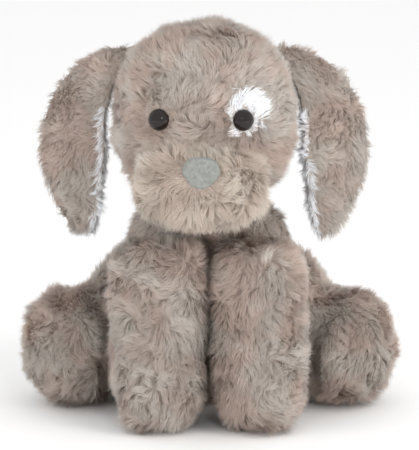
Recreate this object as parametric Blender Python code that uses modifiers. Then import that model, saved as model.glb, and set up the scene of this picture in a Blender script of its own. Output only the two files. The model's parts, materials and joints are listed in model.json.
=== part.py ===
"""A seated plush dog: fur-fabric panels sewn round stuffed cores, with sewn-on ears and safety eyes.

The dog faces -Y, its left side is +X and it sits on z = 0. All lengths are in metres.
"""

import math

import bmesh
import bpy
from mathutils import Matrix, Vector, geometry

# Driving dimensions of the whole dog
SEATED_HEIGHT = 0.261
CENTRE_SHIFT = -0.0097  # moves the dog so that paws and tail reach equally far from the origin
SKIN = 0.003  # backing cloth with its crushed pile
GAP = 0.0003  # between neighbouring pieces
FILL_GAP = 0.0012  # between the skin and its filling
SWING_GAP = 0.0030  # round a leg where it turns in the torso
SOCKET_GAP = 0.0010  # round the neck and the tail where they turn

# How square each stuffed form is: 2 is a plain ball, and higher is boxier
HEAD_SQUARENESS = 2.4
MUZZLE_SQUARENESS = 2.5
PATCH_SQUARENESS = 2.2
TORSO_SQUARENESS = 3.2
LEG_SQUARENESS = 3.3
HAUNCH_SQUARENESS = 2.1
FOOT_SQUARENESS = 2.5
TAIL_SQUARENESS = 2.2

# Head
HEAD_HALF = Vector((0.061, 0.058, 0.062))
HEAD_CENTRE = Vector((-0.003, -0.010, SEATED_HEIGHT - HEAD_HALF.z))
FACE_X = -0.005  # the face's midline: the head is stuffed a little to one side
GUSSET_HALF_WIDTH = 0.012
MUZZLE_HALF = Vector((0.0465, 0.035, 0.0310))
MUZZLE_CENTRE = Vector((FACE_X, -0.060, 0.1625))
JOWL_SAG = 0.10
BRIDGE_SLOPE = 0.35
CHEEK_FULLNESS = 0.08
CHIN_TOP = 0.146
EYE_RADIUS = 0.007
EYE_DOME = 0.0052
EYE_SINK = 0.0006  # how far the rim is pressed into the pile
EYE_SPACING = 0.0535
EYE_HEIGHT = 0.2025
SHANK_RADIUS = 0.0016
SHANK_LENGTH = 0.012
WASHER_RADIUS = 0.008
WASHER_THICK = 0.0012
WASHER_DROP = 0.0008  # from the skin to the washer
NOSE_HALF_WIDTH = 0.0138
NOSE_HALF_HEIGHT = 0.0108
NOSE_HEIGHT = 0.1728
NOSE_PROUD = 0.0035
NOSE_DEPTH = 0.012  # before its back is shaped to the muzzle
NOSE_ROUNDING = 0.0028
NOSE_NARROWING = 0.42  # how much less wide its lower corner is
NOSE_FLATNESS = 0.68  # under 1, its sides are fuller than an oval's
PATCH_HALF = Vector((0.0160, 0.040, 0.0175))
PATCH_OFFSET = Vector((0.0050, 0.0, 0.0050))  # the white patch's middle, measured from its eye

# Ears: a leaf that leaves the head sideways, arches over and hangs
EAR_ROOT = Vector((0.050, 0.004, 0.237))
EAR_REACH = 0.043
EAR_TIP = Vector((0.079, 0.000, 0.118))
EAR_ARCH = Vector((0.016, 0.0, 0.050))  # from the tip, where the hanging line comes down
EAR_SHOULDER_DROP = 0.004  # how little the ear falls while it goes out
EAR_HALF_WIDTH = 0.026
EAR_ROOT_SHARE = 0.62  # of the full width, at the seam
EAR_WIDEST = 0.85  # a higher value moves the widest place towards the root
EAR_TIP_START = 0.62  # of the length, where the tip begins to narrow
EAR_TIP_LENGTH = 0.40
EAR_TIP_BLUNTNESS = 0.12
EAR_TURN = math.radians(32)  # the front edge is nearer the face's midline than the rear edge
EAR_CUP = 0.005
EAR_LAYER = 0.0042
EAR_CLEARANCE = 0.0042  # between the head and the ear, where the seam's cloth flexes

# Torso and neck
NECK = Vector((-0.002, 0.002, 0.152))
NECK_BALL = 0.022
NECK_SEAM = 0.1478  # the level of the head's flat underside
THROAT_RADIUS = 0.050  # the chin starts this far from the axis that the head turns on
SHOULDER_TOP = 0.146
NAPE_FALL = math.radians(17)  # the torso's top falls away behind the neck, so the head can tip
NAPE_TURNS = (-30, 0, 30)  # degrees that the head is turned by when it tips
TORSO_HALF_WIDTH = 0.0495
TORSO_HALF_DEPTH = 0.056
TORSO_Y = 0.037  # the middle of the seat
SHOULDER_FLARE = 0.42  # how much broader the shoulders are than the waist
FLARE_LEVEL = 0.70  # from -1 at the seat to 1 at the shoulders' top
FLARE_REACH = 0.55
TORSO_LEAN = 0.019  # forward, from the seat to half-way up
TORSO_TAPER = 0.18  # front to back, from the seat to half-way up
TORSO_CROWN = 0.006  # the form rises this far beyond its flat top and bottom
SEAT_TOP = 0.010
POUCH_TOP = 0.030
CHEST_BACK_Y = 0.012

# Front legs, which hang from the shoulders
SHOULDER = Vector((0.0338, -0.046, 0.095))
FRONT_LEG_HALF_WIDTH = 0.0333
SHOULDER_RADIUS = 0.031
PAW_HALF_DEPTH = 0.036
PAW_FORWARD = 0.008
PAW_START = 0.15  # how far down the lower half of the leg the paw begins to swell
WRIST_DEPTH = 0.05  # how much narrower the wrist is
WRIST_LEVEL = -0.006  # from the leg's middle
WRIST_REACH = 0.012
SOLE_TOP = 0.008
LEG_SQUARING = 0.30  # how much fuller the leg's top is than its form
SQUARING_START = 0.45  # from 0 at the leg's middle to 1 at its top
TOE_ROUNDING = 0.08  # how much smaller the leg's bottom is than its form
ROUNDING_START = 0.65  # from 0 at the leg's middle to 1 at its bottom
LEG_CROWN = 0.002  # the form rises this far beyond the leg's top and bottom
LEG_DROP = 0.001

# Hind legs, which turn on the hips
HIP = Vector((0.0503, 0.038, 0.051))
HAUNCH_RADIUS = 0.052
HAUNCH_REACH = 0.037
FOOT_CENTRE = Vector((0.0855, 0.018, 0.0395))
FOOT_HALF = Vector((0.0405, 0.043, 0.041))
SOLE_FRONT = 0.026  # from the foot's middle to its sole
SOLE_TURN = math.radians(20)

# Tail
TAIL_ROOT = Vector((0.0, 0.092, 0.040))
TAIL_RADIUS = 0.013
TAIL_HALF_LENGTH = 0.027
TAIL_RISE = math.radians(62)

BIG = 0.5  # side of the blocks that cut panels apart
SIDES = {"left": 1, "right": -1}

FUR = (0.38, 0.32, 0.28)
MUZZLE_FUR = (0.43, 0.37, 0.32)
WHITE_FUR = (0.68, 0.70, 0.73)
VELOUR = (0.38, 0.40, 0.38)
EYE_BLACK = (0.010, 0.008, 0.007)
WASHER_WHITE = (0.75, 0.75, 0.73)
FILLING = (0.80, 0.80, 0.78)
POUCH_CLOTH = (0.62, 0.60, 0.56)


# ---------------------------------------------------------------- scene and materials

def clear_scene():
    for obj in list(bpy.data.objects):
        bpy.data.objects.remove(obj, do_unlink=True)


def new_collection(name):
    collection = bpy.data.collections.new(name)
    bpy.context.scene.collection.children.link(collection)
    return collection


def material(name, colour, roughness, metallic=0.0):
    """A plain Principled material, made once for each name."""
    found = bpy.data.materials.get(name)
    if found:
        return found
    made = bpy.data.materials.new(name)
    made.use_nodes = True
    shader = made.node_tree.nodes["Principled BSDF"]
    shader.inputs["Base Color"].default_value = (*colour, 1.0)
    shader.inputs["Roughness"].default_value = roughness
    shader.inputs["Metallic"].default_value = metallic
    return made


# ---------------------------------------------------------------- helpers for forms and cuts

def add_object(name, bm, collection):
    """Puts a bmesh into a new object of the collection, faces outward and smooth."""
    bmesh.ops.recalc_face_normals(bm, faces=bm.faces)
    mesh = bpy.data.meshes.new(name)
    bm.to_mesh(mesh)
    bm.free()
    mesh.shade_smooth()
    obj = bpy.data.objects.new(name, mesh)
    collection.objects.link(obj)
    return obj


def add_guide(name, bm):
    """A form or cutter that only shapes the parts."""
    obj = add_object(name, bm, guides)
    obj.hide_render = True
    obj.display_type = "WIRE"
    return obj


def subdivide(obj, levels):
    modifier = obj.modifiers.new("soften", "SUBSURF")
    modifier.levels = levels
    modifier.render_levels = levels


def inflate(obj, distance):
    """Moves the surface out along its normals, or in when the distance is negative."""
    modifier = obj.modifiers.new("inflate", "DISPLACE")
    modifier.strength = distance
    modifier.mid_level = 0.0


def combine(obj, other, operation):
    """A Boolean with the manifold solver: the exact one loses soft forms that cross at a pole."""
    modifier = obj.modifiers.new(operation.lower(), "BOOLEAN")
    modifier.operation = operation
    modifier.solver = "MANIFOLD"
    modifier.object = other


def soft_form(name, half, centre, squareness, segments=8, rings=6, shape=None):
    """A stuffed form: a ball with flattened sides, bent by the function shape before it's placed."""
    bm = bmesh.new()
    bmesh.ops.create_uvsphere(bm, u_segments=segments, v_segments=rings, radius=1.0)
    # Subdivision pulls a cage inward at each bend, so the cage starts that much larger.
    around = 0.75 + 0.25 * math.cos(2 * math.pi / segments)
    upward = 0.75 + 0.25 * math.cos(math.pi / rings)
    for vert in bm.verts:
        length = sum(abs(c) ** squareness for c in vert.co) ** (1 / squareness)
        unit = vert.co / (length * upward)
        unit.xy /= around
        local = Vector((unit.x * half.x, unit.y * half.y, unit.z * half.z))
        vert.co = (shape(local) if shape else local) + centre
    form = add_guide(name, bm)
    subdivide(form, 1)
    return form


def resized(form, name, distance):
    """The same form, larger or smaller all round by the distance."""
    copy = bpy.data.objects.new(name, form.data)
    guides.objects.link(copy)
    copy.hide_render = True
    copy.display_type = "WIRE"
    for modifier in form.modifiers:
        if modifier.type == "SUBSURF":
            subdivide(copy, modifier.levels)
    inflate(copy, distance)
    return copy


def block(name, low, high):
    """A box guide between two corners; None stands for far outside the dog."""
    low = [-BIG if value is None else value for value in low]
    high = [BIG if value is None else value for value in high]
    bm = bmesh.new()
    bmesh.ops.create_cube(bm, size=1.0)
    for vert in bm.verts:
        vert.co = Vector(h if c > 0 else l for c, l, h in zip(vert.co, low, high))
    return add_guide(name, bm)


def rod(name, radius, start, end, segments=32):
    """A cylinder guide between two points."""
    start, end = Vector(start), Vector(end)
    bm = bmesh.new()
    bmesh.ops.create_cone(bm, cap_ends=True, segments=segments, radius1=radius, radius2=radius,
                          depth=(end - start).length)
    turn = (end - start).to_track_quat("Z", "Y").to_matrix().to_4x4()
    bmesh.ops.transform(bm, matrix=Matrix.Translation((start + end) / 2) @ turn, verts=bm.verts)
    return add_guide(name, bm)


def below(level):
    """A block that takes away everything lower than the level, made once for each level."""
    name = f"below_{1000 * level:.1f}_mm"
    return bpy.data.objects.get(name) or block(name, (None, None, None), (None, None, level))


def core_of(form):
    """The space inside a form's skin, with a skin's thickness left at the bottom too."""
    core = resized(form, form.name.replace("form", "core"), -SKIN)
    combine(core, below(SKIN), "DIFFERENCE")
    return core


def ball(name, radius, centre):
    bm = bmesh.new()
    bmesh.ops.create_uvsphere(bm, u_segments=14, v_segments=9, radius=radius)
    bmesh.ops.translate(bm, vec=centre, verts=bm.verts)
    return add_guide(name, bm)


def piece(name, form, region, cutters, look):
    """A named part: the form's own shape, kept inside the region and cut by each cutter."""
    bm = bmesh.new()
    bm.from_mesh(form.data)
    obj = add_object(name, bm, parts)
    obj.data.materials.append(look)
    for modifier in form.modifiers:
        if modifier.type == "SUBSURF":
            subdivide(obj, modifier.levels)
        else:
            inflate(obj, modifier.strength)
    if region:
        combine(obj, region, "INTERSECT")
    for cutter in cutters:
        combine(obj, cutter, "DIFFERENCE")
    return obj


def stuffing(name, forms, cutters):
    """The filling of one form, or of several that open into each other, clear of their skins."""
    inset = SKIN + FILL_GAP
    fills = [resized(form, form.name.replace("form", "fill"), -inset) for form in forms]
    obj = piece(name, fills[0], None, [], material("filling", FILLING, 0.95))
    for fill in fills[1:]:
        combine(obj, fill, "UNION")
    for cutter in [below(inset), *cutters]:
        combine(obj, cutter, "DIFFERENCE")
    return obj


def turned(name, profile, steps, look=None):
    """A body of revolution about Z from (radius, height) points that run from top to bottom."""
    bm = bmesh.new()
    verts = [bm.verts.new((radius, 0.0, height)) for radius, height in profile]
    for first, second in zip(verts, verts[1:]):
        bm.edges.new((first, second))
    obj = add_object(name, bm, parts if look else guides)
    if look:
        obj.data.materials.append(look)
    else:
        obj.hide_render = True
        obj.display_type = "WIRE"
    screw = obj.modifiers.new("turn", "SCREW")
    screw.steps = steps
    screw.render_steps = steps
    screw.use_merge_vertices = True
    screw.merge_threshold = 0.00001
    return obj


def joint(name, location, parent=None):
    """An empty on a joint's axis."""
    empty = bpy.data.objects.new(name, None)
    empty.empty_display_size = 0.01
    parts.objects.link(empty)
    empty.parent = parent
    empty.location = location - (world_place(parent) if parent else Vector())
    return empty


def world_place(obj):
    """Where an unturned object stands, counted up through its parents."""
    return obj.location + (world_place(obj.parent) if obj.parent else Vector())


def attach(pieces, empty):
    """Gives each piece its origin on the joint's axis without moving its shape."""
    place = world_place(empty)
    for obj in pieces:
        if obj.location.length:
            obj.location = obj.location - place
        else:
            obj.data.transform(Matrix.Translation(-place))
        obj.parent = empty


# ---------------------------------------------------------------- head

def muzzle_shape(local):
    """The jowls sag at the sides and the top slopes back to the bridge between the eyes."""
    sag = JOWL_SAG * abs(local.x) * max(0.0, -local.z / MUZZLE_HALF.z)
    slope = BRIDGE_SLOPE * max(0.0, local.z)
    return Vector((local.x, local.y + slope, local.z - sag))


def head_shape(local):
    """The cheeks stay full towards the neck and the crown is a little narrower at the back."""
    fullness = 1.0 + CHEEK_FULLNESS * max(0.0, -local.z / HEAD_HALF.z)
    return Vector((local.x * fullness, local.y, local.z))


def eye_profile(extra):
    """A flattened dome with a shank behind it; extra is the clearance all round."""
    dome = [
        ((EYE_RADIUS + extra) * math.sin(angle), (EYE_DOME + extra) * math.cos(angle))
        for angle in (math.radians(18 * step) for step in range(6))
    ]
    foot = [(EYE_RADIUS + extra, -EYE_SINK - extra), (SHANK_RADIUS + extra, -EYE_SINK - extra)]
    end = [(SHANK_RADIUS + extra, -SHANK_LENGTH - extra), (0.0, -SHANK_LENGTH - extra)]
    return dome + foot + end


def washer_profile():
    top = -SKIN - WASHER_DROP
    inner = SHANK_RADIUS + GAP
    return [
        (inner, top),
        (WASHER_RADIUS, top),
        (WASHER_RADIUS, top - WASHER_THICK),
        (inner, top - WASHER_THICK),
        (inner, top),
    ]


def nose_outline(count=20):
    """A rounded triangle with its broad side up, as points of a closed line."""
    points = []
    for step in range(count):
        angle = 2 * math.pi * step / count
        narrow = 1.0 - NOSE_NARROWING * max(0.0, -math.sin(angle))
        across = math.copysign(abs(math.cos(angle)) ** NOSE_FLATNESS, math.cos(angle))
        x = NOSE_HALF_WIDTH * across * narrow
        points.append((x, NOSE_HALF_HEIGHT * math.sin(angle)))
    return points


def surface_at(form, x, z):
    """The point and the normal where a line along +Y at x, z first meets the form."""
    bpy.context.view_layer.update()
    evaluated = form.evaluated_get(bpy.context.evaluated_depsgraph_get())
    _, point, normal, _ = evaluated.ray_cast(Vector((x, -BIG, z)), Vector((0.0, 1.0, 0.0)))
    return point, normal


def make_nose(muzzle, look):
    """A velour pad sewn on the muzzle: the flat outline thickened, rounded and set on the fur."""
    bm = bmesh.new()
    verts = [bm.verts.new((x, 0.0, z)) for x, z in nose_outline()]
    face = bm.faces.new(verts)
    front = bmesh.ops.extrude_face_region(bm, geom=[face])["geom"]
    moved = [item for item in front if isinstance(item, bmesh.types.BMVert)]
    bmesh.ops.translate(bm, vec=(0.0, -NOSE_DEPTH, 0.0), verts=moved)
    rim = [edge for edge in bm.edges if all(vert in moved for vert in edge.verts)]
    bmesh.ops.bevel(bm, geom=rim, offset=NOSE_ROUNDING, segments=3, profile=0.5, affect="EDGES")
    spot, normal = surface_at(muzzle, FACE_X, NOSE_HEIGHT)
    normal = (normal + Vector((0.0, -1.0, 0.0))).normalized()
    facing = (-normal).to_track_quat("Y", "Z").to_matrix().to_4x4()
    inside = spot - (NOSE_DEPTH - NOSE_PROUD) * normal
    bmesh.ops.transform(bm, matrix=Matrix.Translation(inside) @ facing, verts=bm.verts)
    nose = add_object("nose", bm, parts)
    nose.data.materials.append(look)
    combine(nose, resized(muzzle, "nose_seat", GAP), "DIFFERENCE")
    return nose


def make_eyes(head):
    """The safety eyes, their washers, and the hole and pocket that each one needs."""
    black = material("eye_black", EYE_BLACK, 0.08)
    white = material("washer_white", WASHER_WHITE, 0.45)
    pieces, holes, pockets = [], [], []
    for side, sign in SIDES.items():
        spot, normal = surface_at(head, FACE_X + sign * EYE_SPACING / 2, EYE_HEIGHT)
        turn = normal.to_track_quat("Z", "Y").to_euler()
        seat = spot - EYE_SINK * normal
        eye = turned(f"eye_{side}", eye_profile(0.0), 16, black)
        washer = turned(f"eye_washer_{side}", washer_profile(), 16, white)
        hole = turned(f"eye_hole_{side}", eye_profile(GAP), 16)
        for obj in (eye, washer, hole):
            obj.location = seat
            obj.rotation_euler = turn
        depth = SKIN + WASHER_DROP + WASHER_THICK + GAP
        pocket = rod(f"washer_pocket_{side}", WASHER_RADIUS + GAP, seat + EYE_DOME * normal,
                     seat - depth * normal)
        pieces += [eye, washer]
        holes.append(hole)
        pockets.append(pocket)
    return pieces, holes, pockets


def make_head():
    """Two side panels and a gusset over the head, a three-panel muzzle, patch, nose and eyes."""
    fur = material("fur_taupe", FUR, 0.9)
    pale = material("fur_muzzle", MUZZLE_FUR, 0.9)
    white = material("fur_white", WHITE_FUR, 0.9)
    head = soft_form("head_form", HEAD_HALF, HEAD_CENTRE, HEAD_SQUARENESS, 10, 7, head_shape)
    muzzle = soft_form("muzzle_form", MUZZLE_HALF, MUZZLE_CENTRE, MUZZLE_SQUARENESS, 9, 6,
                       muzzle_shape)
    head_core = core_of(head)
    muzzle_core = core_of(muzzle)
    head_clear = resized(head, "head_clear", GAP)
    muzzle_clear = resized(muzzle, "muzzle_clear", GAP)
    eyes, eye_holes, washer_pockets = make_eyes(head)

    neck_space = ball("neck_space", NECK_BALL + SOCKET_GAP, NECK)
    throat = rod("throat_space", THROAT_RADIUS, (NECK.x, NECK.y, 0.0),
                 (NECK.x, NECK.y, NECK_SEAM), 24)

    left = HEAD_CENTRE.x + GUSSET_HALF_WIDTH
    right = HEAD_CENTRE.x - GUSSET_HALF_WIDTH
    half_gap = GAP / 2
    side_regions = {
        "left": block("head_left_region", (left + half_gap, None, None), (None, None, None)),
        "right": block("head_right_region", (None, None, None), (right - half_gap, None, None)),
    }
    gusset_region = block("gusset_region", (right + half_gap, None, None),
                          (left - half_gap, None, None))
    front = HEAD_CENTRE.y - HEAD_HALF.y
    patch_middle = Vector((FACE_X + EYE_SPACING / 2, front, EYE_HEIGHT)) + PATCH_OFFSET
    patch_region = soft_form("patch_region", PATCH_HALF, patch_middle, PATCH_SQUARENESS)
    patch_opening = resized(patch_region, "patch_opening", GAP)

    openings = [muzzle_clear, head_core, neck_space, throat]
    pieces = eyes
    pieces.append(piece("head_gusset", head, gusset_region, openings, fur))
    for side, region in side_regions.items():
        extra = eye_holes + ([patch_opening] if side == "left" else [])
        pieces.append(piece(f"head_side_{side}", head, region, openings + extra, fur))
    patch = piece("eye_patch", head, patch_region, [head_core, muzzle_clear] + eye_holes, white)
    combine(patch, side_regions["left"], "INTERSECT")
    pieces.append(patch)

    muzzle_regions = {
        "muzzle_left": block("muzzle_left_region", (FACE_X + half_gap, None, CHIN_TOP + half_gap),
                             (None, None, None)),
        "muzzle_right": block("muzzle_right_region", (None, None, CHIN_TOP + half_gap),
                              (FACE_X - half_gap, None, None)),
        "chin": block("chin_region", (None, None, None), (None, None, CHIN_TOP - half_gap)),
    }
    for name, region in muzzle_regions.items():
        cutters = [muzzle_core, head_clear, neck_space, throat] + eye_holes
        pieces.append(piece(name, muzzle, region, cutters, pale))
    pieces.append(make_nose(muzzle, material("nose_velour", VELOUR, 0.85)))

    spaces = [neck_space, throat] + eye_holes + washer_pockets
    pieces.append(stuffing("head_stuffing", [head, muzzle], spaces))
    return pieces, head


# ---------------------------------------------------------------- ears

def ear_surface(sign):
    """The open middle surface of one ear: a leaf swept along its hanging line."""
    rows, columns = 7, 4
    over = EAR_ROOT + Vector((EAR_REACH, 0.0, -EAR_SHOULDER_DROP))
    line = geometry.interpolate_bezier(EAR_ROOT, over, EAR_TIP + EAR_ARCH, EAR_TIP, rows)
    across = Vector((-math.cos(EAR_TURN), -math.sin(EAR_TURN), 0.0))
    outward = Vector((math.sin(EAR_TURN), -math.cos(EAR_TURN), 0.0))
    bm = bmesh.new()
    bmesh.ops.create_grid(bm, x_segments=columns - 1, y_segments=rows - 1, size=1.0)
    for vert in bm.verts:
        along = (vert.co.y + 1) / 2
        centre = line[round(along * (rows - 1))]
        swell = math.sin(math.pi * EAR_WIDEST * along)
        half_width = EAR_HALF_WIDTH * (EAR_ROOT_SHARE + (1.0 - EAR_ROOT_SHARE) * swell)
        narrowing = max(0.0, (along - EAR_TIP_START) / EAR_TIP_LENGTH)
        half_width *= math.sqrt(max(EAR_TIP_BLUNTNESS, 1.0 - narrowing ** 2))
        point = centre + across * vert.co.x * half_width - outward * EAR_CUP * vert.co.x ** 2
        vert.co = Vector((sign * point.x + HEAD_CENTRE.x, point.y, point.z))
    return bm


def make_ear(side, sign, head_clear):
    """The outer fur panel and the white lining, back to back."""
    looks = {
        "outer": material("fur_taupe", FUR, 0.9),
        "lining": material("fur_white", WHITE_FUR, 0.9),
    }
    pieces = []
    for layer, look in looks.items():
        ear = add_object(f"ear_{side}_{layer}", ear_surface(sign), parts)
        ear.data.materials.append(look)
        faces_out = ear.data.polygons[0].normal.x * sign > 0
        subdivide(ear, 1)
        inflate(ear, (GAP if (layer == "outer") == faces_out else -GAP))
        shell = ear.modifiers.new("layer", "SOLIDIFY")
        shell.thickness = EAR_LAYER
        shell.offset = 1.0 if (layer == "outer") == faces_out else -1.0
        combine(ear, head_clear, "DIFFERENCE")
        pieces.append(ear)
    return pieces


# ---------------------------------------------------------------- torso and neck

def torso_shape(local):
    """Upright and narrow between the haunches, broader at the shoulders, leaning to the neck."""
    height = local.z / (SHOULDER_TOP / 2)
    flare = 1.0 + SHOULDER_FLARE * max(0.0, 1.0 - abs(height - FLARE_LEVEL) / FLARE_REACH)
    lean = TORSO_LEAN * (height + 1.0)
    depth = 1.0 - TORSO_TAPER * (height + 1.0)
    return Vector((local.x * flare, local.y * depth - lean, local.z))


def make_torso():
    """Chest, two back panels and a seat round the filling and the seat's pellet pouch."""
    fur = material("fur_taupe", FUR, 0.9)
    half = Vector((TORSO_HALF_WIDTH, TORSO_HALF_DEPTH, SHOULDER_TOP / 2 + TORSO_CROWN))
    centre = Vector((0.0, TORSO_Y, SHOULDER_TOP / 2))
    torso = soft_form("torso_form", half, centre, TORSO_SQUARENESS, 8, 7, torso_shape)
    core = core_of(torso)
    stage = [
        below(0.0),
        block("above_shoulders", (None, None, SHOULDER_TOP), (None, None, None)),
        ball("neck_socket", NECK_BALL + SOCKET_GAP, NECK),
        ball("tail_socket", TAIL_RADIUS + SOCKET_GAP, TAIL_ROOT),
    ]
    for number, degrees in enumerate(NAPE_TURNS):
        nape = block(f"above_nape_{number}", (None, None, 0.0), (None, None, None))
        nape.data.transform(Matrix.Translation((NECK.x, NECK.y, SHOULDER_TOP))
                            @ Matrix.Rotation(math.radians(degrees), 4, "Z")
                            @ Matrix.Rotation(-NAPE_FALL, 4, "X"))
        stage.append(nape)
    behind_legs = SHOULDER.y + SHOULDER_RADIUS + SWING_GAP / 2
    stage.append(block("front_leg_space", (None, None, None), (None, behind_legs, SHOULDER.z)))
    stage.append(rod("shoulder_space", SHOULDER_RADIUS + SWING_GAP, (-BIG, SHOULDER.y, SHOULDER.z),
                     (BIG, SHOULDER.y, SHOULDER.z), 28))
    for side, sign in SIDES.items():
        inner = Vector((sign * (HIP.x - GAP), HIP.y, HIP.z))
        outer = inner + Vector((sign * BIG, 0.0, 0.0))
        stage.append(rod(f"hip_space_{side}", HAUNCH_RADIUS + SWING_GAP, inner, outer, 28))

    half_gap = GAP / 2
    regions = {
        "chest": block("chest_region", (None, None, SEAT_TOP), (None, CHEST_BACK_Y - half_gap, None)),
        "back_left": block("back_left_region", (half_gap, CHEST_BACK_Y + half_gap, SEAT_TOP),
                           (None, None, None)),
        "back_right": block("back_right_region", (None, CHEST_BACK_Y + half_gap, SEAT_TOP),
                            (-half_gap, None, None)),
        "seat": block("seat_region", (None, None, None), (None, None, SEAT_TOP - GAP)),
    }
    pieces = [piece(name, torso, region, [core] + stage, fur) for name, region in regions.items()]
    pieces.append(stuffing("torso_stuffing", [torso], stage + [below(POUCH_TOP + half_gap)]))
    pouch = stuffing("pellet_pouch", [torso], stage)
    combine(pouch, below(POUCH_TOP - half_gap), "INTERSECT")
    pouch.data.materials[0] = material("pouch_cloth", POUCH_CLOTH, 0.8)
    pieces.append(pouch)
    return pieces


def make_neck():
    """The wad of filling that the head turns and nods on."""
    form = ball("neck_form", NECK_BALL, NECK)
    return piece("neck_stuffing", form, None, [], material("filling", FILLING, 0.95))


# ---------------------------------------------------------------- legs and tail

def front_leg_shape(local):
    """A straight leg, broad at the shoulder, with a wrist, that swells forward into the paw."""
    low = max(0.0, -local.z / (SHOULDER.z / 2) - PAW_START) / (1.0 - PAW_START)
    paw = min(1.0, low * low * (3 - 2 * min(1.0, low)))
    depth = 1.0 + (PAW_HALF_DEPTH / SHOULDER_RADIUS - 1.0) * paw
    wrist = 1.0 - WRIST_DEPTH * math.exp(-((local.z - WRIST_LEVEL) / WRIST_REACH) ** 2)
    height = 2 * local.z / (SHOULDER.z + SHOULDER_RADIUS)
    top = max(0.0, height - SQUARING_START) / (1.0 - SQUARING_START)
    toe = max(0.0, -height - ROUNDING_START) / (1.0 - ROUNDING_START)
    rounding = 1.0 - TOE_ROUNDING * toe
    x = local.x * wrist * (1.0 + LEG_SQUARING * top)
    x = max(-FRONT_LEG_HALF_WIDTH, min(FRONT_LEG_HALF_WIDTH, x))
    y = local.y * depth * wrist * rounding - PAW_FORWARD * paw
    return Vector((x * rounding, y, local.z))


def make_front_leg(side, sign):
    """Outer and inner panels and a sole round the filling."""
    fur = material("fur_taupe", FUR, 0.9)
    top = SHOULDER.z + SHOULDER_RADIUS
    centre = Vector((sign * SHOULDER.x, SHOULDER.y, top / 2 - LEG_DROP))
    half = Vector((FRONT_LEG_HALF_WIDTH, SHOULDER_RADIUS, top / 2 + LEG_CROWN))
    form = soft_form(f"front_leg_form_{side}", half, centre, LEG_SQUARENESS, 8, 8, front_leg_shape)
    cutters = [core_of(form), below(0.0)]
    half_gap = GAP / 2
    plane = centre.x
    halves = {
        "plus": block(f"leg_plus_{side}", (plane + half_gap, None, SOLE_TOP + half_gap),
                      (None, None, None)),
        "minus": block(f"leg_minus_{side}", (None, None, SOLE_TOP + half_gap),
                       (plane - half_gap, None, None)),
    }
    outer, inner = ("plus", "minus") if sign > 0 else ("minus", "plus")
    sole = block(f"leg_sole_region_{side}", (None, None, None), (None, None, SOLE_TOP - half_gap))
    name = f"front_leg_{side}"
    return [
        piece(f"{name}_outer", form, halves[outer], cutters, fur),
        piece(f"{name}_inner", form, halves[inner], cutters, fur),
        piece(f"{name}_sole", form, sole, cutters, fur),
        stuffing(f"{name}_stuffing", [form], []),
    ]


def make_hind_leg(side, sign):
    """A domed haunch against the torso, with a foot that has its sole to the front."""
    fur = material("fur_taupe", FUR, 0.9)
    name = f"hind_leg_{side}"
    hip = Vector((sign * HIP.x, HIP.y, HIP.z))
    haunch_half = Vector((HAUNCH_REACH, HAUNCH_RADIUS, HAUNCH_RADIUS))
    haunch = soft_form(f"{name}_haunch_form", haunch_half, hip, HAUNCH_SQUARENESS, 8, 6)
    foot_centre = Vector((sign * FOOT_CENTRE.x, FOOT_CENTRE.y, FOOT_CENTRE.z))
    foot = soft_form(f"{name}_foot_form", FOOT_HALF, foot_centre, FOOT_SQUARENESS, 9, 6)
    haunch_core = core_of(haunch)
    haunch_clear = resized(haunch, f"{name}_haunch_clear", GAP)
    foot_core = core_of(foot)
    foot_clear = resized(foot, f"{name}_foot_clear", GAP)
    inner = hip.x + sign * GAP
    low = (inner, None, None) if sign > 0 else (None, None, None)
    high = (None, None, None) if sign > 0 else (inner, None, None)
    outside = block(f"{name}_outside", low, high)

    # The part of the foot behind the front leg keeps inside the circle that the haunch turns in.
    leg_side = SHOULDER.x + FRONT_LEG_HALF_WIDTH + GAP
    low = (None, None, None) if sign > 0 else (-leg_side, None, None)
    high = (leg_side, None, None) if sign > 0 else (None, None, None)
    behind_leg = block(f"{name}_behind_front_leg", low, high)
    combine(behind_leg, rod(f"{name}_circle", HAUNCH_RADIUS, (-BIG, hip.y, hip.z),
                            (BIG, hip.y, hip.z)), "DIFFERENCE")

    facing = Vector((sign * math.sin(SOLE_TURN), -math.cos(SOLE_TURN), 0.0))
    turn = facing.to_track_quat("Y", "Z").to_matrix().to_4x4()
    front = block(f"{name}_front", (None, SOLE_FRONT - GAP / 2, None), (None, None, None))
    front.data.transform(Matrix.Translation(foot_centre) @ turn)
    sole_region = block(f"{name}_sole_region", (None, SOLE_FRONT + GAP / 2, None),
                        (None, None, None))
    sole_region.data.transform(Matrix.Translation(foot_centre) @ turn)

    around_haunch = [haunch_core, foot_clear, below(0.0)]
    around_foot = [foot_core, haunch_clear, behind_leg, below(0.0)]
    filling = stuffing(f"{name}_stuffing", [haunch, foot], [behind_leg])
    combine(filling, outside, "INTERSECT")
    return [
        piece(f"{name}_haunch", haunch, outside, around_haunch, fur),
        piece(f"{name}_foot", foot, outside, around_foot + [front], fur),
        piece(f"{name}_sole", foot, sole_region, around_foot, fur),
        filling,
    ]


def make_tail():
    """Two panels round a little filling, rising from the back of the seat."""
    half = Vector((TAIL_RADIUS, TAIL_HALF_LENGTH, TAIL_RADIUS))
    rise = Matrix.Rotation(TAIL_RISE, 3, "X")
    offset = Vector((0.0, TAIL_HALF_LENGTH - TAIL_RADIUS, 0.0))
    form = soft_form("tail_form", half, TAIL_ROOT, TAIL_SQUARENESS, 6, 5,
                     lambda local: rise @ (local + offset))
    core = core_of(form)
    fur = material("fur_taupe", FUR, 0.9)
    left = block("tail_left_region", (GAP / 2, None, None), (None, None, None))
    right = block("tail_right_region", (None, None, None), (-GAP / 2, None, None))
    return [
        piece("tail_left", form, left, [core], fur),
        piece("tail_right", form, right, [core], fur),
        stuffing("tail_stuffing", [form], []),
    ]


# ---------------------------------------------------------------- assembly

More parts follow.
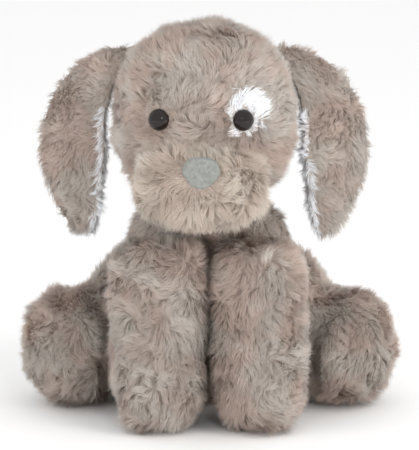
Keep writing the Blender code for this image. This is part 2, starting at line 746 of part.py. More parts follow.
def build_dog():
    dog = joint("dog", Vector())
    attach(make_torso(), dog)
    neck_turn = joint("neck_turn", NECK, dog)
    attach([make_neck()], neck_turn)
    head_nod = joint("head_nod", NECK, neck_turn)
    head_pieces, head_form = make_head()
    attach(head_pieces, head_nod)
    head_clear = resized(head_form, "ear_seat", EAR_CLEARANCE)
    for side, sign in SIDES.items():
        root = Vector((sign * EAR_ROOT.x + HEAD_CENTRE.x, EAR_ROOT.y, EAR_ROOT.z))
        ear_hinge = joint(f"ear_{side}_hinge", root, head_nod)
        attach(make_ear(side, sign, head_clear), ear_hinge)
        shoulder = Vector((sign * SHOULDER.x, SHOULDER.y, SHOULDER.z))
        leg_swing = joint(f"front_leg_{side}_swing", shoulder, dog)
        attach(make_front_leg(side, sign), leg_swing)
        hip_turn = joint(f"hind_leg_{side}_turn", Vector((sign * HIP.x, HIP.y, HIP.z)), dog)
        attach(make_hind_leg(side, sign), hip_turn)
    tail_wag = joint("tail_wag", TAIL_ROOT, dog)
    attach(make_tail(), tail_wag)
    for guide in guides.objects:
        guide.parent = dog
    dog.location.y = CENTRE_SHIFT


clear_scene()
parts = new_collection("plush_dog")
guides = new_collection("guides")
build_dog()
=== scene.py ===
# %% [markdown]
# # A floppy plush dog, sitting up
#
# The dog is a stuffed toy. Shaped cloth skins are filled until they are plump, and every skin is
# covered with a soft, crushed pile. The solids that this scene opens are the panels and fillings of
# that toy. Here each part of the body gets a padded skin and a coat of separate hairs, and rides on
# the same moving body as its solids.

# %% Open the frame
import json
import math

import bmesh
import bpy
import numpy as np
from mathutils import Matrix, Vector, noise
from mathutils.bvhtree import BVHTree
from mathutils.kdtree import KDTree


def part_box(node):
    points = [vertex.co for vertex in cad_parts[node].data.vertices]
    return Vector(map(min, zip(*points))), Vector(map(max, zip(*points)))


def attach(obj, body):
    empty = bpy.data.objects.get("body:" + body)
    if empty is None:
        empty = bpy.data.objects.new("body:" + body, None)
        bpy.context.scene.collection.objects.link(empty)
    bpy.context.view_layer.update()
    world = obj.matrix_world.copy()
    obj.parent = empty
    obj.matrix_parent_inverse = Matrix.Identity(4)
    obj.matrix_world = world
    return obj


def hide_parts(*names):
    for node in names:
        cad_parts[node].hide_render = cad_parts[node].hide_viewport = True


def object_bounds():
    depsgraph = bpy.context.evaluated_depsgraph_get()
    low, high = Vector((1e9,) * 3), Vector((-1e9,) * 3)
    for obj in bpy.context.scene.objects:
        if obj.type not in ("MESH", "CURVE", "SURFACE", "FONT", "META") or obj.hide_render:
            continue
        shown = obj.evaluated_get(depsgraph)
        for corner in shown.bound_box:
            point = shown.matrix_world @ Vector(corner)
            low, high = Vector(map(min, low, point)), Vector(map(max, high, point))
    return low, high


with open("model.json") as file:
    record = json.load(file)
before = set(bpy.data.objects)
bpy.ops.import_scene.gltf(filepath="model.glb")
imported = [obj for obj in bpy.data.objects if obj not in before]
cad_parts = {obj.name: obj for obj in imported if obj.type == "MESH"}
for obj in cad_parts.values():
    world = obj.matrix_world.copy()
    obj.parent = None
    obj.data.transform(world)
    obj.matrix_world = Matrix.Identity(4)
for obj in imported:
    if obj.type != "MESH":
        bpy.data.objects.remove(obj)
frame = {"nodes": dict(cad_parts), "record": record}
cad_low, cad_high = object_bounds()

MM = 0.001
scene = bpy.context.scene
slot_of = {part["node"]: part["material_slot"] for part in frame["record"]["subparts"]}
body_nodes = frame["record"]["behaviour"]["bodies"]
toy_size = [high - low for low, high in zip(cad_low, cad_high)]
print("toy, mm:", [round(side / MM) for side in toy_size])


# %% [markdown]
# ## Floor, light and camera
#
# A product table is a pale floor in a white room. One big soft lamp above the toy's own left and a
# weaker one on the other side show the tufts of the pile without hard shadows. A long lens keeps
# the proportions as they are on the real toy.

# %% Set the floor, the lamps and the camera
LENS = 220
FILM = 36
VIEW_HEIGHT = 0.2955
VIEW_TILT = math.radians(11)
TARGET = Vector((0.0003, 0.0, 0.1218))
FLOOR_HALF = 6.0


def new_object(title, mesh):
    """A new object at the origin that shows this mesh."""
    obj = bpy.data.objects.new(title, mesh)
    scene.collection.objects.link(obj)
    return obj


def mesh_from(shape, title):
    """Turns a bmesh into a smooth mesh, and frees it."""
    mesh = bpy.data.meshes.new(title)
    for face in shape.faces:
        face.smooth = True
    shape.to_mesh(mesh)
    shape.free()
    return mesh


def look(obj, target):
    obj.rotation_euler = (target - obj.location).to_track_quat("-Z", "Y").to_euler()


def lamp(title, place, size, watts, tint, mirrored=True):
    light = bpy.data.lights.new(title, "AREA")
    light.shape = "DISK"
    light.size = size
    light.energy = watts
    light.color = tint
    obj = new_object(title, light)
    obj.location = place
    obj.visible_glossy = mirrored
    look(obj, TARGET)


def room():
    sheet = bmesh.new()
    bmesh.ops.create_grid(sheet, x_segments=1, y_segments=1, size=FLOOR_HALF)
    floor = new_object("floor", mesh_from(sheet, "floor"))
    paint = bpy.data.materials.new("pale floor")
    paint.use_nodes = True
    shader = paint.node_tree.nodes["Principled BSDF"]
    shader.inputs["Base Color"].default_value = (0.93, 0.93, 0.93, 1)
    shader.inputs["Roughness"].default_value = 0.9
    floor.data.materials.append(paint)
    world = bpy.data.worlds.new("white room")
    world.use_nodes = True
    world.node_tree.nodes["Background"].inputs["Color"].default_value = (1, 1, 1, 1)
    world.node_tree.nodes["Background"].inputs["Strength"].default_value = 1.0
    scene.world = world


def camera():
    lens = bpy.data.cameras.new("camera")
    lens.lens = LENS
    lens.sensor_width = FILM
    view = new_object("camera", lens)
    distance = VIEW_HEIGHT * LENS / FILM
    view.location = TARGET + distance * Vector((0, -math.cos(VIEW_TILT), math.sin(VIEW_TILT)))
    look(view, TARGET)
    scene.camera = view


room()
camera()
lamp("key lamp", (0.9, -1.0, 1.3), 0.8, 5, (1.0, 0.985, 0.96), mirrored=False)
lamp("right lamp", (1.3, -1.0, 0.2), 0.9, 17, (1.0, 0.99, 0.98), mirrored=False)
lamp("left lamp", (-1.3, -1.0, 0.2), 0.9, 13, (1.0, 0.99, 0.98), mirrored=False)
lamp("front lamp", (0.25, -1.5, 0.75), 0.13, 2.5, (1.0, 1.0, 1.0))
scene.view_settings.view_transform = "Standard"


# %% [markdown]
# ## Padded skins
#
# Under its pile the toy is a set of sewn bags, pushed out by their filling. Each bag starts as a
# merged copy of the panels and the filling of one body. A voxel remesh joins them into a single
# closed skin, which is sunk below the surface to leave room for the pile. Cloth simulation with
# pressure inside then rounds it as the filling does, and a subdivision smooths it.

# %% Helpers that join, remesh and plump
WELD = 0.02 * MM
VOXEL = 3.0 * MM
PRESSURE = 4.0
PUFF_FRAMES = 20
PUFF_LIMIT = 2.0 * MM
SINK_STEPS = 4
FLOOR_CLEARANCE = 0.8 * MM
FOLD_SIZE = 17 * MM
FOLD_DEPTH = 4.0 * MM


def joined(title, nodes):
    """One new object that holds a merged copy of these solids."""
    shape = bmesh.new()
    for node in nodes:
        shape.from_mesh(frame["nodes"][node].data)
    bmesh.ops.remove_doubles(shape, verts=shape.verts, dist=WELD)
    return new_object(title, mesh_from(shape, title))


def settle(obj):
    """Applies the object's modifiers to its mesh."""
    graph = bpy.context.evaluated_depsgraph_get()
    mesh = bpy.data.meshes.new_from_object(obj.evaluated_get(graph))
    obj.modifiers.clear()
    obj.data = mesh


def remesh(obj, voxel):
    close = obj.modifiers.new("close", "REMESH")
    close.mode = "VOXEL"
    close.voxel_size = voxel
    settle(obj)


def sink(obj, depth_at, folds=1.0):
    """Moves the skin inwards by depth_at(point) with soft folds, in small smoothed steps."""
    shape = bmesh.new()
    shape.from_mesh(obj.data)
    for _ in range(SINK_STEPS):
        shape.normal_update()
        for vert in shape.verts:
            depth = depth_at(vert.co)
            fold = folds * noise.noise(vert.co / FOLD_SIZE) * min(1.0, depth / FOLD_DEPTH)
            vert.co -= vert.normal * ((depth + FOLD_DEPTH * fold) / SINK_STEPS)
        bmesh.ops.smooth_vert(
            shape, verts=shape.verts, factor=0.5, use_axis_x=True, use_axis_y=True, use_axis_z=True
        )
    for vert in shape.verts:
        vert.co.z = max(vert.co.z, FLOOR_CLEARANCE)
    obj.data = mesh_from(shape, obj.name)


def plump(obj):
    """Blows the skin up with cloth simulation, and lets no point move further than PUFF_LIMIT."""
    rest = np.empty(len(obj.data.vertices) * 3)
    obj.data.vertices.foreach_get("co", rest)
    cloth = obj.modifiers.new("filling", "CLOTH")
    cloth.settings.use_pressure = True
    cloth.settings.uniform_pressure_force = PRESSURE
    cloth.settings.effector_weights.gravity = 0
    cloth.point_cache.frame_end = PUFF_FRAMES
    for number in range(1, PUFF_FRAMES + 1):
        scene.frame_set(number)
    settle(obj)
    scene.frame_set(1)
    puffed = np.empty_like(rest)
    obj.data.vertices.foreach_get("co", puffed)
    move = (puffed - rest).reshape(-1, 3)
    length = np.linalg.norm(move, axis=1, keepdims=True)
    move *= np.minimum(1, PUFF_LIMIT / np.maximum(length, 1e-9))
    placed = rest.reshape(-1, 3) + move
    placed[:, 2] = np.maximum(placed[:, 2], FLOOR_CLEARANCE)
    obj.data.vertices.foreach_set("co", placed.ravel())
    obj.data.update()


def refine(obj):
    smooth = obj.modifiers.new("smooth", "SUBSURF")
    smooth.levels = 1
    smooth.render_levels = 1
    settle(obj)


# %% [markdown]
# ## How deep the pile is
#
# The pile is cut to one length, but it is brushed short round the eyes and the nose so that they
# show. One function gives its depth at any point, and both the sinking of the skin and the length
# of the hairs use it.

# %% Say how deep the pile is
PILE_DEPTH = 6.5 * MM
SHORT_DEPTH = 1.8 * MM


def middle(node):
    low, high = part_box(node)
    return (Vector(low) + Vector(high)) / 2


TRIMMED = [(middle("eye_left"), 13 * MM), (middle("eye_right"), 13 * MM), (middle("nose"), 19 * MM)]
BODY_DEPTH = {"ear_left": 1.0 * MM, "ear_right": 1.0 * MM, "tail": 5.5 * MM, "neck": 4.0 * MM}


MUZZLE_PANELS = ("muzzle_left", "muzzle_right", "chin")
FACE_PANELS = ("head_gusset", "head_side_left", "head_side_right", "eye_patch")
CREASE_WIDTH = 4.0 * MM
CREASE_DEPTH = 6.0 * MM
MEETING = 0.1
MEETING_WIDTH = {
    "front_leg_left": 28 * MM,
    "front_leg_right": 28 * MM,
    "hind_leg_left": 12 * MM,
    "hind_leg_right": 12 * MM,
}
HIP_MEETING_WIDTH = 18 * MM
HIP_MEETING_HEIGHT = 110 * MM
BODY_SINK = 0.85
BIB_CENTRE = Vector((0.0, -0.03, 0.122))
BIB_REACH = 20 * MM
BIB_DEPTH = 12 * MM


def tree_of(nodes):
    """A search tree over the faces of these solids."""
    shape = bmesh.new()
    for node in nodes:
        shape.from_mesh(frame["nodes"][node].data)
    tree = BVHTree.FromBMesh(shape)
    shape.free()
    return tree


muzzle_tree, face_tree = tree_of(MUZZLE_PANELS), tree_of(FACE_PANELS)


def crease_at(point):
    """1 in the seam where the muzzle meets the face, falling to 0 on both sides."""
    apart = muzzle_tree.find_nearest(point)[3] - face_tree.find_nearest(point)[3]
    return math.exp(-((apart / CREASE_WIDTH) ** 2))


def depth_on(body):
    """A function that gives the depth of this body's pile at a point."""
    deep = BODY_DEPTH.get(body, PILE_DEPTH)

    def depth_at(point):
        depth = deep
        if body == "head":
            for centre, reach in TRIMMED:
                near = min(1.0, (point - centre).length / reach)
                depth = min(depth, SHORT_DEPTH + (deep - SHORT_DEPTH) * near**3)
        return depth

    return depth_at


def clamped(share):
    return min(1.0, max(0.0, share))


def bib_at(point):
    """1 in the middle of the bib, the fur between the tops of the front legs, and 0 far from it."""
    if point.y > BIB_CENTRE.y + BIB_REACH:
        return 0.0
    away = math.hypot(point.x - BIB_CENTRE.x, point.z - BIB_CENTRE.z)
    return math.exp(-((away / BIB_REACH) ** 2))


def sink_on(body):
    """A function that says how far this body's skin lies below the tips of the pile."""
    depth_at = depth_on(body)
    if body in MEETING_WIDTH:
        width = MEETING_WIDTH[body]
        inner = min(abs(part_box(node)[end][0]) for node in body_nodes[body] for end in (0, 1))
        return lambda point: depth_at(point) * clamped(MEETING + (abs(point.x) - inner) / width)
    if body == "torso":
        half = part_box("back_left")[1][0]
        return lambda point: depth_at(point) * BODY_SINK * clamped(
            (half - abs(point.x)) / HIP_MEETING_WIDTH + point.z / HIP_MEETING_HEIGHT
        ) - BIB_DEPTH * bib_at(point)
    if body != "head":
        return lambda point: depth_at(point) * BODY_SINK
    return lambda point: depth_at(point) + CREASE_DEPTH * crease_at(point)


# %% Make the skins
SKIN_BODIES = [body for body in body_nodes if not body.startswith("ear")]
NOT_SKIN = ("eye_left", "eye_right", "nose", "eye_washer_left", "eye_washer_right")


def make_skin(body):
    nodes = [node for node in body_nodes[body] if node not in NOT_SKIN]
    skin = joined(body + "_skin", nodes)
    remesh(skin, VOXEL)
    sink(skin, sink_on(body))
    plump(skin)
    refine(skin)
    return skin


skins = {body: make_skin(body) for body in SKIN_BODIES}
for body, skin in skins.items():
    print(skin.name, len(skin.data.polygons), "faces")


# %% [markdown]
# ## Ears
#
# Each ear is two thin layers of cloth sewn together: brown pile outside and white pile inside.
# The layers keep their own solids' shape, only thinner, because the pile gives the rest.

# %% Make the two layers of each ear
EAR_VOXEL = 1.8 * MM


ROOT_LENGTH = 18 * MM
ROOT_REACH = 7 * MM
DRAWN_HEIGHT = 70 * MM
HANG_REACH = 7 * MM
hinges = {joint["child"]: joint for joint in frame["record"]["behaviour"]["joints"]}


def draw_root_in(layer, body):
    """Pulls the sewn edge of an ear into the side of the head."""
    root = Vector(hinges[body]["pos_m"])
    side = 1 if body.endswith("left") else -1
    for vert in layer.data.vertices:
        near = 1 - min(1.0, abs(vert.co.x - root.x) / ROOT_LENGTH)
        high = min(1.0, max(0.0, 1 - (root.z - vert.co.z) / DRAWN_HEIGHT))
        vert.co.x -= side * (ROOT_REACH * near**2 * (3 - 2 * near) + HANG_REACH * high)


def make_layer(node, body):
    layer = joined(node + "_skin", [node])
    remesh(layer, EAR_VOXEL)
    sink(layer, depth_on(body), folds=0.15)
    draw_root_in(layer, body)
    return layer


for side in ("left", "right"):
    for layer in ("outer", "lining"):
        node = f"ear_{side}_{layer}"
        skins[node] = make_layer(node, "ear_" + side)
        print(skins[node].name, len(skins[node].data.polygons), "faces")


# %% [markdown]
# ## Colours of the pile
#
# Crushed pile is never one colour: it runs from grey to rose in soft patches, and each hair differs
# a little. The finish mixes two dyes by soft clouds on Object coordinates, and paints shade that
# darkens each hair towards its root, where shade falls deep in the pile. It reads two attributes
# that every hair carries: how far along the hair a point is, and the hair's own tint, which holds
# random tone and painted shade from the lean and the crush of its lock.

# %% Mix the finishes
def add_node(tree, kind, place, **settings):
    node = tree.nodes.new(kind)
    node.location = place
    for name, value in settings.items():
        setattr(node, name, value)
    return node


def mix_colour(tree, place, mode="MIX"):
    return add_node(tree, "ShaderNodeMix", place, data_type="RGBA", blend_type=mode)


def ramp(tree, source, low, high, place):
    """Spreads source, from low to high, over 0 to 1."""
    spread = add_node(tree, "ShaderNodeMapRange", place)
    spread.inputs["From Min"].default_value = low
    spread.inputs["From Max"].default_value = high
    tree.links.new(source, spread.inputs["Value"])
    return spread.outputs["Result"]


def cloud(tree, size, place, detail=2.0):
    """A soft noise whose patches are about this size."""
    where = add_node(tree, "ShaderNodeTexCoord", (place[0] - 200, place[1]))
    patches = add_node(tree, "ShaderNodeTexNoise", place)
    patches.inputs["Scale"].default_value = 1 / size
    patches.inputs["Detail"].default_value = detail
    tree.links.new(where.outputs["Object"], patches.inputs["Vector"])
    return patches.outputs["Fac"]


def glow_through(tree, shader, dye):
    """Lets a hair that is seen from below show the light that falls on its upper side."""
    side = add_node(tree, "ShaderNodeNewGeometry", (50, 500))
    through = add_node(tree, "ShaderNodeBsdfTranslucent", (50, -500))
    both = add_node(tree, "ShaderNodeMixShader", (350, 200))
    tree.links.new(dye, through.inputs["Color"])
    tree.links.new(side.outputs["Backfacing"], both.inputs["Fac"])
    tree.links.new(shader.outputs["BSDF"], both.inputs[1])
    tree.links.new(through.outputs["BSDF"], both.inputs[2])
    tree.links.new(both.outputs["Shader"], tree.nodes["Material Output"].inputs["Surface"])


def pile_finish(title, grey, rose, root, sheen):
    """Pile of two dyes, with painted shade that darkens the roots, and hairs that differ by random
    tone and by painted shade from their locks.
    """
    finish = bpy.data.materials.new(title)
    finish.use_nodes = True
    tree = finish.node_tree
    shader = tree.nodes["Principled BSDF"]
    dyes = mix_colour(tree, (-700, 200))
    dyes.inputs["A"].default_value = (*grey, 1)
    dyes.inputs["B"].default_value = (*rose, 1)
    clouds = ramp(tree, cloud(tree, 28 * MM, (-1300, 200)), 0.40, 0.60, (-1000, 200))
    tree.links.new(clouds, dyes.inputs["Factor"])
    # Painted shade: the colour darkens towards the root of each hair, where shade falls deep in the
    # pile.
    along = add_node(tree, "ShaderNodeAttribute", (-1300, -100), attribute_name="along")
    root_shade_fade = ramp(tree, along.outputs["Fac"], 0.0, 0.75, (-1000, -100))
    roots = mix_colour(tree, (-450, 100), "MULTIPLY")
    roots.inputs["Factor"].default_value = 1
    depth = mix_colour(tree, (-700, -100))
    depth.inputs["A"].default_value = (root, root * 0.97, root * 0.94, 1)
    depth.inputs["B"].default_value = (1, 1, 1, 1)
    tree.links.new(root_shade_fade, depth.inputs["Factor"])
    tree.links.new(dyes.outputs["Result"], roots.inputs["A"])
    tree.links.new(depth.outputs["Result"], roots.inputs["B"])
    # The tint of each hair holds painted shade from the lean and the crush of its lock, and random
    # tone.
    tint = add_node(tree, "ShaderNodeAttribute", (-1300, -350), attribute_name="tint")
    each = mix_colour(tree, (-700, -350))
    each.inputs["A"].default_value = (0.76, 0.74, 0.73, 1)
    each.inputs["B"].default_value = (1.18, 1.185, 1.19, 1)
    tree.links.new(tint.outputs["Fac"], each.inputs["Factor"])
    hairs = mix_colour(tree, (-250, 0), "MULTIPLY")
    hairs.inputs["Factor"].default_value = 1
    tree.links.new(roots.outputs["Result"], hairs.inputs["A"])
    tree.links.new(each.outputs["Result"], hairs.inputs["B"])
    tree.links.new(hairs.outputs["Result"], shader.inputs["Base Color"])
    shader.inputs["Roughness"].default_value = 0.75
    shader.inputs["Specular IOR Level"].default_value = 0.25
    shader.inputs["Sheen Weight"].default_value = sheen
    shader.inputs["Sheen Roughness"].default_value = 0.45
    glow_through(tree, shader, hairs.outputs["Result"])
    return finish


def backing_finish(title, dye):
    """The knitted cloth that the pile is held in."""
    finish = bpy.data.materials.new(title)
    finish.use_nodes = True
    tree = finish.node_tree
    shader = tree.nodes["Principled BSDF"]
    knit = mix_colour(tree, (-400, 200))
    knit.inputs["A"].default_value = (*[part * 0.75 for part in dye], 1)
    knit.inputs["B"].default_value = (*dye, 1)
    tree.links.new(cloud(tree, 1.5 * MM, (-700, 200)), knit.inputs["Factor"])
    tree.links.new(knit.outputs["Result"], shader.inputs["Base Color"])
    shader.inputs["Roughness"].default_value = 0.9
    return finish


# The fourth number of each pile finish sets its painted root shade: how dark the colour is at the
# roots.
FINISHES = {
    "fur_taupe": pile_finish("taupe pile", (0.435, 0.40, 0.365), (0.42, 0.34, 0.297), 0.68, 0.1),
    "fur_muzzle": pile_finish("muzzle pile", (0.50, 0.455, 0.40), (0.49, 0.415, 0.36), 0.78, 0.1),
    "fur_white": pile_finish("white pile", (0.80, 0.835, 0.88), (0.85, 0.86, 0.88), 0.8, 0.1),
}
BACKINGS = {
    "fur_taupe": backing_finish("taupe backing", (0.36, 0.30, 0.26)),
    "fur_white": backing_finish("white backing", (0.66, 0.67, 0.69)),
}


# %% [markdown]
# ## A coat of hairs
#
# Real pile is hundreds of thousands of fine fibres that cling together in locks. One tapered blade
# is modelled, and a copy of it is bent and placed for each hair. Every hair belongs to a lock, and
# the tips of a lock lean the same way and draw together, which gives the crushed, tufty look.

# %% Model one hair
HAIR_WIDTH = 0.36 * MM
HAIR_RINGS = 2
TIP_SHARE = 0.25


def make_blade():
    """A flat blade from 0 to 1 in Y, whose last ring is merged to a point."""
    blade = bmesh.new()
    bmesh.ops.create_grid(blade, x_segments=1, y_segments=HAIR_RINGS, size=0.5)
    bmesh.ops.translate(blade, verts=blade.verts, vec=(0, 0.5, 0))
    top = [vert for vert in blade.verts if vert.co.y > 1 - 1e-6]
    bmesh.ops.pointmerge(blade, verts=top, merge_co=(0, 1, 0))
    for vert in blade.verts:
        vert.co.x *= 1 - (1 - TIP_SHARE) * vert.co.y
    blade.verts.index_update()
    return blade


blade = make_blade()
blade_across = np.array([vert.co.x for vert in blade.verts])
blade_along = np.array([vert.co.y for vert in blade.verts])
blade_faces = [[vert.index for vert in face.verts] for face in blade.faces]
blade.free()
print("one hair:", len(blade_across), "points,", len(blade_faces), "faces")


# %% Spread roots over a skin
DENSITY = 2.15 / MM**2


def numbers(items, name, width):
    """Reads one property of all items of a mesh as an array."""
    values = np.empty(len(items) * width, np.float32)
    items.foreach_get(name, values)
    return values.reshape(-1, width).astype(np.float64) if width > 1 else values


def face_owners(skin, panels):
    """Which of these panels each triangle of the skin lies nearest to."""
    skin.data.calc_loop_triangles()
    trees = []
    for panel in panels:
        shape = bmesh.new()
        shape.from_mesh(frame["nodes"][panel].data)
        trees.append(BVHTree.FromBMesh(shape))
        shape.free()
    owners = np.zeros(len(skin.data.loop_triangles), np.int32)
    if len(panels) == 1:
        return owners
    for number, face in enumerate(skin.data.loop_triangles):
        centre = sum((skin.data.vertices[v].co for v in face.vertices), Vector()) / 3
        far = [tree.find_nearest(centre)[3] for tree in trees]
        owners[number] = far.index(min(far))
    return owners


def spread_roots(skin, owners, rng, density):
    """Roots spread evenly over the skin: their places, normals and panels."""
    mesh = skin.data
    mesh.calc_loop_triangles()
    corners = np.empty(len(mesh.loop_triangles) * 3, np.int32)
    mesh.loop_triangles.foreach_get("vertices", corners)
    corners = corners.reshape(-1, 3)
    points = numbers(mesh.vertices, "co", 3)
    normals = numbers(mesh.vertices, "normal", 3)
    a, b, c = (points[corners[:, k]] for k in range(3))
    area = np.linalg.norm(np.cross(b - a, c - a), axis=1) / 2
    total = area.sum()
    count = int(total * density)
    steps = (np.arange(count) + rng.random(count)) / count
    face = np.searchsorted(np.cumsum(area) / total, steps).clip(0, len(area) - 1)
    u, v = rng.random((2, count))
    over = u + v > 1
    u[over], v[over] = 1 - u[over], 1 - v[over]
    share = np.stack([1 - u - v, u, v], axis=1)[:, :, None]
    roots = (points[corners[face]] * share).sum(axis=1)
    out = (normals[corners[face]] * share).sum(axis=1)
    out /= np.linalg.norm(out, axis=1, keepdims=True)
    print(skin.name, round(total / MM**2 / 100), "cm2,", count, "hairs")
    return roots, out, owners[face]


# %% Say which way the pile lies
def unit(vectors):
    return vectors / np.maximum(np.linalg.norm(vectors, axis=-1, keepdims=True), 1e-9)


def swirl(points, size):
    """A smooth random vector field with eddies of about this size."""
    return np.array([noise.noise_vector(Vector(point) / size) for point in points])


def brushed(body, points):
    """The way that this body's pile was brushed, before it was crushed."""
    down = np.array((0.0, 0.0, -1.0))
    if body == "head":
        away = unit(points - np.array(middle("nose")))
        return away + 0.5 * down
    if body == "tail":
        return np.tile((0.0, 0.6, 0.8), (len(points), 1))
    if body.startswith("hind"):
        low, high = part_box(body + "_foot")
        away = unit(points - (np.array(low) + np.array(high)) / 2)
        return 0.6 * away + 0.6 * down
    return np.tile(down, (len(points), 1))


# %% Draw the hairs together in locks
LOCK_HAIRS = 20
LOCK_PULL = 0.28
BRUSH_SHARE = 0.75
SWIRLS = ((34 * MM, 1.3), (12 * MM, 1.5))
STRAY_SHARE = 0.2
CRUSH_SIZE = 13 * MM
HAIR_PER_DEPTH = 1.25
LEAN = 0.78
RISE = 0.62
FLATNESS = 0.25
SOFTNESS = 0.75
# Painted shade in each hair's tint: locks that lean up are lighter, locks that lean down are
# darker, and crushed, low locks are darker too. HAIR_SHADE is random tone.
LEAN_PAINTED_SHADE = -0.22
CRUSH_PAINTED_SHADE = 0.5
HAIR_SHADE = 0.12


def nearest_lock(roots, centres):
    tree = KDTree(len(centres))
    for number, centre in enumerate(centres):
        tree.insert(centre, number)
    tree.balance()
    return np.array([tree.find(root)[1] for root in roots])


def lay_hairs(body, roots, out, depth, rng):
    """The middle and the tip of each hair, bent over and drawn to its lock, and its tint: painted
    shade, lighter where the lock leans up and darker where it leans down or is crushed low, plus
    random tone.
    """
    locks = rng.choice(len(roots), len(roots) // LOCK_HAIRS, replace=False)
    centres, normals = roots[locks], out[locks]
    lie = BRUSH_SHARE * unit(brushed(body, centres)) + STRAY_SHARE * rng.normal(size=centres.shape)
    for size, share in SWIRLS:
        lie += share * swirl(centres, size)
    lie -= normals * (lie * normals).sum(axis=1, keepdims=True)
    lie = unit(lie) * rng.uniform(0.75, 1.15, (len(locks), 1))
    crush = swirl(centres + 1.0, CRUSH_SIZE)[:, :1]
    tall = rng.uniform(0.88, 1.12, (len(locks), 1)) * (1 + 0.5 * crush)
    own = nearest_lock(roots, centres)
    length = depth[:, None] * HAIR_PER_DEPTH
    along = normals[own] * RISE * tall[own] + lie[own] * LEAN
    target = centres[own] + length * along
    stray = rng.normal(size=roots.shape) * 0.2
    tips = roots + length * (out * RISE * tall[own] + lie[own] * LEAN + stray)
    pull = LOCK_PULL * rng.uniform(0.7, 1.2, (len(roots), 1))
    tips = tips * (1 - pull) + target * pull
    knees = roots + length * (out * 0.5 + lie[own] * 0.2)
    knees += (centres[own] - roots) * 0.15
    # Painted shade from the lean and the crush of the lock, plus random tone for each hair.
    painted_shade_and_tone = 0.5 - LEAN_PAINTED_SHADE * lie[own][:, 2] + CRUSH_PAINTED_SHADE * crush[own][:, 0]
    painted_shade_and_tone += HAIR_SHADE * rng.normal(size=len(roots))
    return knees, tips, np.clip(painted_shade_and_tone, 0, 1)


# %% Stamp the hairs into meshes
EAR_TURN = math.radians(32)
SLAB = 5 * MM
RIM_WIDTH = 3.0 * MM
RIM_BELOW_ROOT = 34 * MM


def stamp(title, roots, out, knees, tips, tint, rng):
    """One mesh with a bent blade for each hair."""
    count, points = len(roots), len(blade_along)
    t = blade_along[None, :, None]
    spine = (
        (1 - t) ** 2 * roots[:, None] + 2 * t * (1 - t) * knees[:, None] + t**2 * tips[:, None]
    )
    across = unit(np.cross(tips - roots, out + FLATNESS * rng.normal(size=roots.shape)))
    facing = unit(np.cross(across, tips - roots))
    soft = unit(SOFTNESS * out + (1 - SOFTNESS) * facing)
    width = HAIR_WIDTH * rng.uniform(0.75, 1.25, (count, 1, 1))
    place = spine + across[:, None] * blade_across[None, :, None] * width
    place[:, :, 2] = np.maximum(place[:, :, 2], 0.2 * MM)
    sizes = np.array([len(face) for face in blade_faces])
    ring = np.concatenate(blade_faces)
    loops = (ring[None, :] + points * np.arange(count)[:, None]).ravel()
    mesh = bpy.data.meshes.new(title)
    mesh.vertices.add(count * points)
    mesh.vertices.foreach_set("co", place.ravel().astype(np.float32))
    mesh.loops.add(len(loops))
    mesh.loops.foreach_set("vertex_index", loops.astype(np.int32))
    totals = np.tile(sizes, count)
    mesh.polygons.add(len(totals))
    mesh.polygons.foreach_set("loop_start", (np.cumsum(totals) - totals).astype(np.int32))
    mesh.polygons.foreach_set("loop_total", totals.astype(np.int32))
    mesh.polygons.foreach_set("use_smooth", np.ones(len(totals), bool))
    mesh.update(calc_edges=True)
    mesh.normals_split_custom_set_from_vertices(np.repeat(soft, points, axis=0))
    # The tint attribute holds painted shade and random tone for each hair.
    values = {"along": np.tile(blade_along, count), "tint": np.repeat(tint, points)}
    for name, value in values.items():
        layer = mesh.attributes.new(name, "FLOAT", "POINT")
        layer.data.foreach_set("value", value.astype(np.float32))
    return new_object(title, mesh)


def near_inner_edge(body, roots):
    """True for the roots in the narrow strip of an ear that lies next to the face."""
    side = 1 if body.endswith("left") else -1
    inward = np.array((-side * math.cos(EAR_TURN), -math.sin(EAR_TURN), 0.0))
    reach = roots @ inward
    level = roots[:, 2]
    slabs = ((level - level.min()) / SLAB).astype(int)
    edge = np.array([reach[slabs == slab].max() for slab in range(slabs.max() + 1)])
    high = level < hinges[body]["pos_m"][2] - RIM_BELOW_ROOT
    return (edge[slabs] - reach < RIM_WIDTH) & high


def patch_by_tips(panels, owner, tips):
    """Gives each hair round the white patch to the panel that its tip lies over."""
    patch, cheek = panels.index("eye_patch"), panels.index("head_side_left")
    patch_tree, cheek_tree = tree_of(["eye_patch"]), tree_of(["head_side_left"])
    for number in np.flatnonzero((owner == patch) | (owner == cheek)):
        tip = Vector(tips[number])
        inside = patch_tree.find_nearest(tip)[3] < cheek_tree.find_nearest(tip)[3]
        owner[number] = patch if inside else cheek
    return owner


def coat(skin, body, panels, seed, density=DENSITY, scale=1.0):
    """Grows the pile of a skin, one piece for each panel that it was sewn from."""
    rng = np.random.default_rng(seed)
    owners = face_owners(skin, panels)
    roots, out, owner = spread_roots(skin, owners, rng, density)
    if body.startswith("ear") and panels[0].endswith("outer"):
        panels = [panels[0], panels[0].replace("outer", "lining")]
        owner = near_inner_edge(body, roots).astype(int)
    depth_at = depth_on(body)
    depth = np.array([depth_at(Vector(root)) for root in roots]) * scale
    knees, tips, tint = lay_hairs(body, roots, out, depth, rng)
    if "eye_patch" in panels:
        owner = patch_by_tips(panels, owner, tips)
    for number, panel in enumerate(panels):
        chosen = owner == number
        grown = (part[chosen] for part in (roots, out, knees, tips, tint))
        title = panel + ("_rim" if body.startswith("ear") and number else "_pile")
        pile = stamp(title, *grown, rng)
        pile.data.materials.append(FINISHES[slot_of[panel]])
        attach(pile, body)
        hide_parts(panel)


# %% Grow the coats
def is_filling(node):
    return slot_of[node] in ("filling", "pouch_cloth", "washer_white")


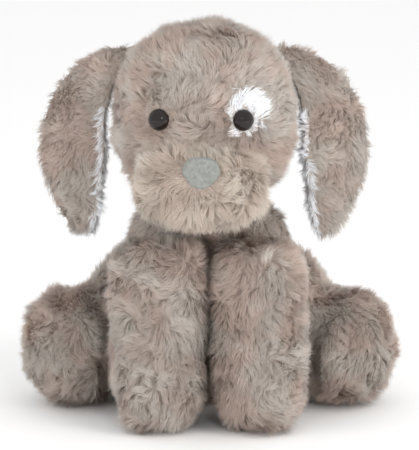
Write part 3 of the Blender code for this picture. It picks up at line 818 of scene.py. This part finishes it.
for number, body in enumerate(SKIN_BODIES):
    skin = skins[body]
    skin.data.materials.clear()
    skin.data.materials.append(BACKINGS["fur_taupe"])
    panels = [node for node in body_nodes[body] if slot_of[node] in FINISHES]
    fillings = [node for node in body_nodes[body] if is_filling(node)]
    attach(skin, body)
    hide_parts(*fillings)
    if panels:
        coat(skin, body, panels, seed=number)

EAR_PILE = {"outer": 4.7, "lining": 3.3}


def layer_of(node):
    return node.rsplit("_", 1)[1]


for number, node in enumerate(name for name in skins if name.startswith("ear")):
    body = node.rsplit("_", 1)[0]
    skin = skins[node]
    skin.data.materials.clear()
    skin.data.materials.append(BACKINGS[slot_of[node]])
    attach(skin, body)
    coat(skin, body, [node], seed=100 + number, scale=EAR_PILE[layer_of(node)])


# %% [markdown]
# ## Eyes and nose

# %% Make the eyes and the nose
def gloss_finish():
    finish = bpy.data.materials.new("polished eye")
    finish.use_nodes = True
    shader = finish.node_tree.nodes["Principled BSDF"]
    shader.inputs["Base Color"].default_value = (0.010, 0.007, 0.006, 1)
    shader.inputs["Roughness"].default_value = 0.08
    shader.inputs["Specular IOR Level"].default_value = 0.35
    return finish


def velour_finish():
    finish = bpy.data.materials.new("nose velour")
    finish.use_nodes = True
    tree = finish.node_tree
    shader = tree.nodes["Principled BSDF"]
    nap = mix_colour(tree, (-400, 200))
    nap.inputs["A"].default_value = (0.10, 0.107, 0.098, 1)
    nap.inputs["B"].default_value = (0.31, 0.316, 0.295, 1)
    tree.links.new(cloud(tree, 2.5 * MM, (-700, 200), 6.0), nap.inputs["Factor"])
    tree.links.new(nap.outputs["Result"], shader.inputs["Base Color"])
    shader.inputs["Roughness"].default_value = 0.85
    shader.inputs["Sheen Weight"].default_value = 0.15
    shader.inputs["Sheen Roughness"].default_value = 0.4
    return finish


NOSE_DRAWN_IN = 0.88
NOSE_PRESS = 3.0 * MM
EYE_PRESS = 1.5 * MM
EYE_FINISH = gloss_finish()
for side in ("left", "right"):
    eye = joined(f"eye_{side}_bead", [f"eye_{side}"])
    for vert in eye.data.vertices:
        vert.co.y += EYE_PRESS
    eye.data.materials.append(EYE_FINISH)
    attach(eye, "head")
    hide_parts(f"eye_{side}")

nose = joined("nose_pad", ["nose"])
remesh(nose, 1.2 * MM)
sink(nose, lambda point: 0.0, folds=0.0)
nose_middle = middle("nose")
for vert in nose.data.vertices:
    vert.co.x = nose_middle.x + (vert.co.x - nose_middle.x) * NOSE_DRAWN_IN
    vert.co.y += NOSE_PRESS
refine(nose)
nose.data.materials.clear()
nose.data.materials.append(velour_finish())
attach(nose, "head")
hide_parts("nose")

# %% [markdown]
# ## Sizes

# %% Write down the sizes
pieces = [obj for obj in scene.objects if obj.type == "MESH" and obj.visible_get()]
print("triangles:", sum(len(obj.data.loop_triangles) for obj in pieces))
